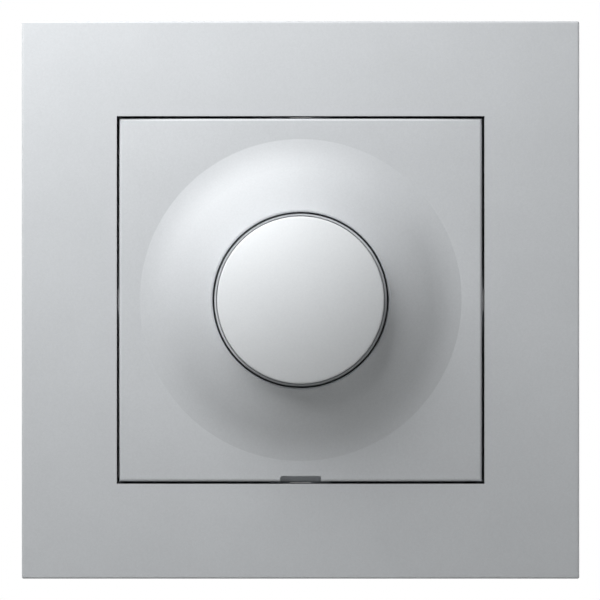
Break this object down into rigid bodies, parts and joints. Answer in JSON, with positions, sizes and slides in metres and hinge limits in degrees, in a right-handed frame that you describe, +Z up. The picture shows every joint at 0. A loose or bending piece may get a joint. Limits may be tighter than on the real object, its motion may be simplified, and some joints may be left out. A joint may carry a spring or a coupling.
{
  "type": "rotary dimmer switch",
  "caption": "Flush-mounted rotary dimmer: square silver frame and centre plate, domed rim, round push-on knob, mounting ring with claws, housing with terminals.",
  "frame": {"origin": "centre of the mounting ring's rear face, which lies on the wall, on the knob's axis", "axes": "+Z up, front faces -Y, +X to the right seen from the front"},
  "size_m": [0.084, 0.0467, 0.084],
  "materials": {
    "silver_cover": "satin silver moulded plastic",
    "zinc_steel": "zinc-plated steel",
    "spring_steel": "spring steel",
    "sink_aluminium": "bare aluminium sheet",
    "housing_plastic": "grey thermoset housing",
    "bush_brass": "brass",
    "shaft_plastic": "natural acetal",
    "control_plastic": "black moulded plastic",
    "track_laminate": "phenolic laminate",
    "tinned_metal": "tinned bronze",
    "board_laminate": "hard paper circuit board",
    "ferrite": "iron powder ring",
    "enamel_copper": "enamelled copper wire",
    "triac_black": "black moulded body with a metal tab",
    "pad_grey": "silicone pad",
    "noise_yellow": "yellow box capacitor",
    "timing_red": "red box capacitor",
    "resistor_tan": "lacquered resistor bodies",
    "diac_blue": "blue glass bead",
    "trimmer_blue": "blue trimmer case",
    "trimmer_white": "white trimmer dial"
  },
  "bodies": {
    "fixed": {"centre_plate": "silver_cover", "choke_core": "ferrite", "choke_winding": "enamel_copper", "circuit_board": "board_laminate", "claw_pins": "zinc_steel", "contact_bars": "bush_brass", "control_bush": "bush_brass", "control_case": "control_plastic", "control_nut": "zinc_steel", "cover_frame": "silver_cover", "diac": "diac_blue", "heat_sink": "sink_aluminium", "housing_base": "housing_plastic", "housing_lid": "housing_plastic", "housing_screws": "zinc_steel", "lock_washer": "zinc_steel", "noise_capacitor": "noise_yellow", "plate_nut": "zinc_steel", "resistors": "resistor_tan", "slider_spring": "spring_steel", "support_ring": "zinc_steel", "switch_case": "control_plastic", "switch_contacts": "bush_brass", "timing_capacitor": "timing_red", "track_pins": "tinned_metal", "track_plate": "track_laminate", "triac": "triac_black", "triac_pad": "pad_grey", "triac_screw": "zinc_steel", "trimmer_body": "trimmer_blue"},
    "rotor": {"wiper_rotor": "shaft_plastic", "wiper_contact": "tinned_metal"},
    "knob": {"rotary_knob": "silver_cover", "knob_clip": "spring_steel", "spindle": "shaft_plastic"},
    "slider": {"switch_slider": "shaft_plastic", "contact_bridge": "bush_brass"},
    "trimmer": {"trimmer_screw": "trimmer_white"},
    "right_claw": {"claw_right": "zinc_steel"},
    "left_claw": {"claw_left": "zinc_steel"},
    "right_claw_screw": {"claw_screw_right": "zinc_steel"},
    "left_claw_screw": {"claw_screw_left": "zinc_steel"},
    "cage_1": {"terminal_cage_1": "zinc_steel"},
    "cage_screw_1": {"terminal_screw_1": "zinc_steel"},
    "cage_2": {"terminal_cage_2": "zinc_steel"},
    "cage_screw_2": {"terminal_screw_2": "zinc_steel"},
    "cage_3": {"terminal_cage_3": "zinc_steel"},
    "cage_screw_3": {"terminal_screw_3": "zinc_steel"}
  },
  "joints": [
    {"name": "dial_turn", "type": "hinge", "parent": "fixed", "child": "rotor", "pos_m": [0, 0.0065, 0], "axis": [0, 1, 0], "range_deg": [-145, 145]},
    {"name": "knob_push", "type": "slide", "parent": "rotor", "child": "knob", "axis": [0, 1, 0], "range_m": [0, 0.0015], "stiffness_N_per_m": 1500, "springref_m": -0.001},
    {"name": "slider_push", "type": "slide", "parent": "fixed", "child": "slider", "axis": [0, 1, 0], "range_m": [0, 0.0015], "deforming": ["slider_spring"]},
    {"name": "trimmer_turn", "type": "hinge", "parent": "fixed", "child": "trimmer", "pos_m": [0.014, 0.0175, 0.005], "axis": [0, 1, 0], "range_deg": [-120, 120]},
    {"name": "right_claw_screw_turn", "type": "hinge", "parent": "fixed", "child": "right_claw_screw", "pos_m": [0.0236, 0, 0.008], "axis": [0, 1, 0], "range_deg": [0, 648]},
    {"name": "right_claw_swing", "type": "hinge", "parent": "fixed", "child": "right_claw", "pos_m": [0.0212, 0.005, 0.008], "axis": [0, 0, -1], "range_deg": [0, 22]},
    {"name": "left_claw_screw_turn", "type": "hinge", "parent": "fixed", "child": "left_claw_screw", "pos_m": [-0.0236, 0, -0.008], "axis": [0, 1, 0], "range_deg": [0, 648]},
    {"name": "left_claw_swing", "type": "hinge", "parent": "fixed", "child": "left_claw", "pos_m": [-0.0212, 0.005, -0.008], "axis": [0, 0, 1], "range_deg": [0, 22]},
    {"name": "terminal_1_cage_lift", "type": "slide", "parent": "fixed", "child": "cage_1", "axis": [0, 0, -1], "range_m": [0, 0.0024]},
    {"name": "terminal_1_screw_turn", "type": "hinge", "parent": "fixed", "child": "cage_screw_1", "pos_m": [-0.0094, 0.018, -0.02], "axis": [0, 0, 1], "range_deg": [0, 1728]},
    {"name": "terminal_2_cage_lift", "type": "slide", "parent": "fixed", "child": "cage_2", "axis": [0, 0, -1], "range_m": [0, 0.0024]},
    {"name": "terminal_2_screw_turn", "type": "hinge", "parent": "fixed", "child": "cage_screw_2", "pos_m": [0, 0.018, -0.02], "axis": [0, 0, 1], "range_deg": [0, 1728]},
    {"name": "terminal_3_cage_lift", "type": "slide", "parent": "fixed", "child": "cage_3", "axis": [0, 0, -1], "range_m": [0, 0.0024]},
    {"name": "terminal_3_screw_turn", "type": "hinge", "parent": "fixed", "child": "cage_screw_3", "pos_m": [0.0094, 0.018, -0.02], "axis": [0, 0, 1], "range_deg": [0, 1728]}
  ],
  "couplings": [
    {"joint": "slider_push", "follows": "knob_push", "ratio": 1},
    {"joint": "right_claw_swing", "follows": "right_claw_screw_turn", "ratio": 0.03395},
    {"joint": "left_claw_swing", "follows": "left_claw_screw_turn", "ratio": 0.03395},
    {"joint": "terminal_1_screw_turn", "follows": "terminal_1_cage_lift", "rad_per_m": 12566},
    {"joint": "terminal_2_screw_turn", "follows": "terminal_2_cage_lift", "rad_per_m": 12566},
    {"joint": "terminal_3_screw_turn", "follows": "terminal_3_cage_lift", "rad_per_m": 12566}
  ]
}
